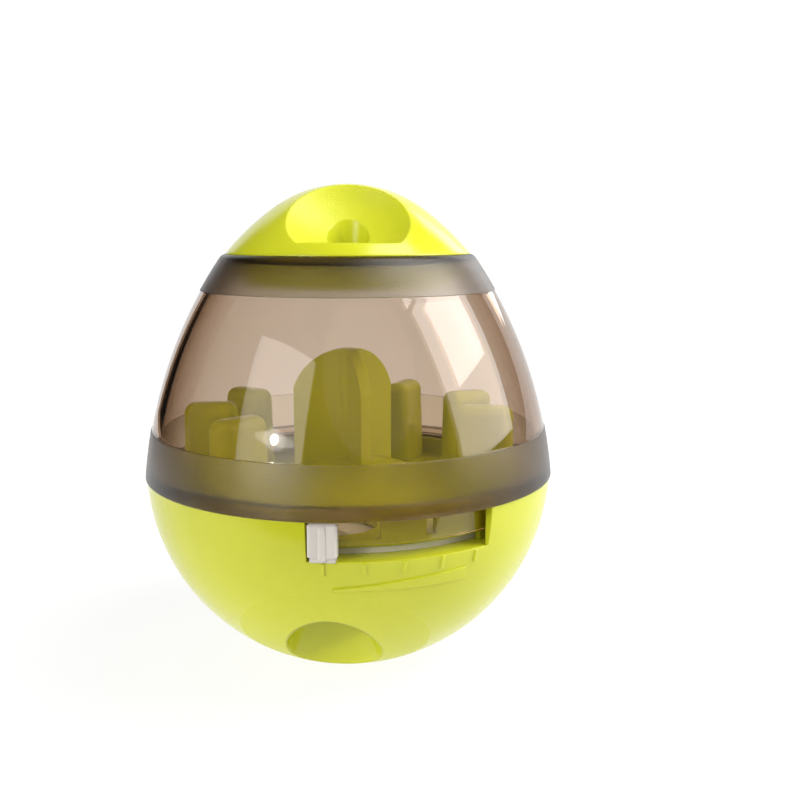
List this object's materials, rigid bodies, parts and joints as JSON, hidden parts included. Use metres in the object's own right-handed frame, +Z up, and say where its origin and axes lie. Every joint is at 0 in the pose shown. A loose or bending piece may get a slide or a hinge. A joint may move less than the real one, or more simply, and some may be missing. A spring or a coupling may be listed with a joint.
{
  "type": "treat ball",
  "caption": "Egg-shaped treat ball with a weighted bowl, clear smoky dome, lift-off cap, turning dose shutter with a lever, and a treat exit.",
  "frame": {"origin": "middle of the flat spot underneath, on which the ball stands", "axes": "+Z up along the ball's axis; -Y is the front, with the lever, its slot and the treat exit; +X is the viewer's right"},
  "size_m": [0.1, 0.1, 0.117],
  "materials": {
    "bowl_lime": "glossy lime moulding",
    "tray_lime": "satin lime moulding",
    "cap_lime": "glossy lime moulding, fine texture in the scoops",
    "shutter_white": "warm white moulding",
    "dome_smoke": "clear smoky plastic with two frosted bands",
    "cast_weight": "plain cast ring",
    "cover_grey": "plain grey disc",
    "screw_steel": "zinc-plated screw",
    "seal_rubber": "black ring"
  },
  "bodies": {
    "base": {"bowl": "bowl_lime", "counterweight": "cast_weight", "weight_cover": "cover_grey", "weight_cover_screw": "screw_steel", "tray": "tray_lime", "tray_screws": "screw_steel"},
    "shutter": {"shutter": "shutter_white"},
    "dome": {"dome": "dome_smoke"},
    "cap": {"cap": "cap_lime", "cap_seal": "seal_rubber"}
  },
  "joints": [
    {"name": "shutter_turn", "type": "hinge", "parent": "base", "child": "shutter", "pos_m": [0, 0, 0.0393], "axis": [0, 0, 1], "range_deg": [0, 40.8]},
    {"name": "dome_lift", "type": "slide", "parent": "base", "child": "dome", "axis": [0, 0, 1], "range_m": [0, 0.06]},
    {"name": "cap_lift", "type": "slide", "parent": "dome", "child": "cap", "axis": [0, 0, 1], "range_m": [0, 0.03]}
  ]
}
